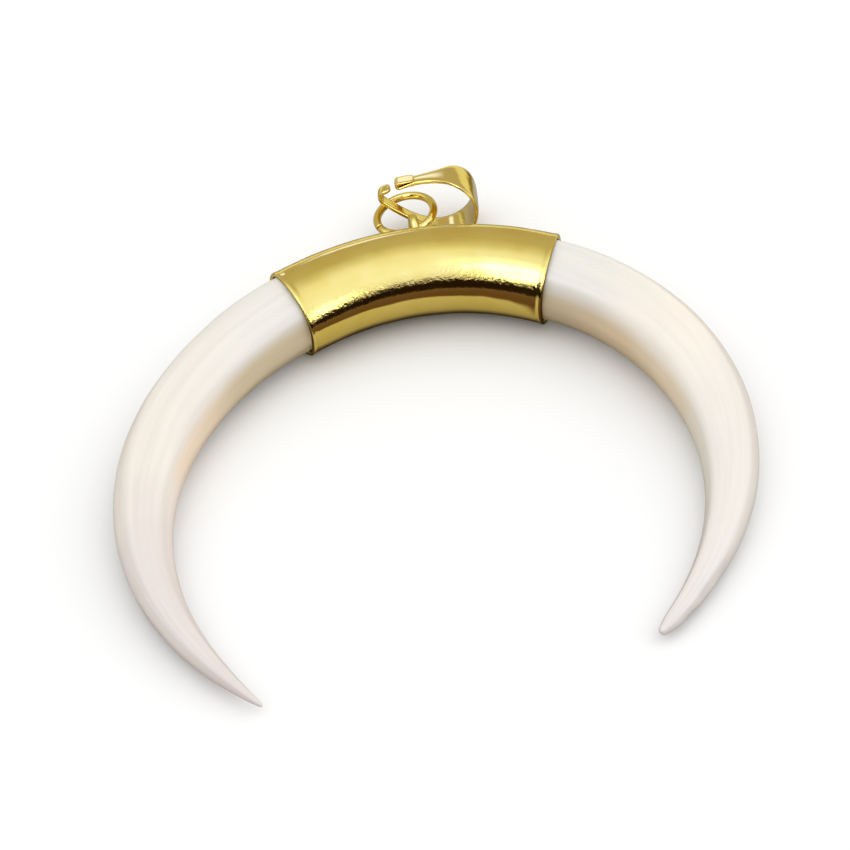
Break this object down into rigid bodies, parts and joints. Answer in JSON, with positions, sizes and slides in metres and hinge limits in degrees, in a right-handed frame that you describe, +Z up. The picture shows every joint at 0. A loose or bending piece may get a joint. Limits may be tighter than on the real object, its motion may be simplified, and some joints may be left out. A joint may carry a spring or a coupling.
{
  "type": "crescent shell pendant",
  "caption": "Crescent pendant of carved white shell with tapering horns, a gold band around its middle, and a soldered eye, jump ring and strap bail to hang it from a chain or cord.",
  "frame": {"origin": "middle of the bounding box, on the table that the pendant lies on", "axes": "+Z up from the table, +X along the gold band to its right end, +Y from the horns to the bail, so the horns point to -Y"},
  "size_m": [0.06, 0.0612, 0.0077],
  "materials": {
    "shell": "hand-ground and polished white shell",
    "gold_plate": "bright electroplated gold over brass"
  },
  "bodies": {
    "root": {"shell_crescent": "shell", "band": "gold_plate", "jump_ring": "gold_plate", "bail": "gold_plate"}
  },
  "joints": []
}
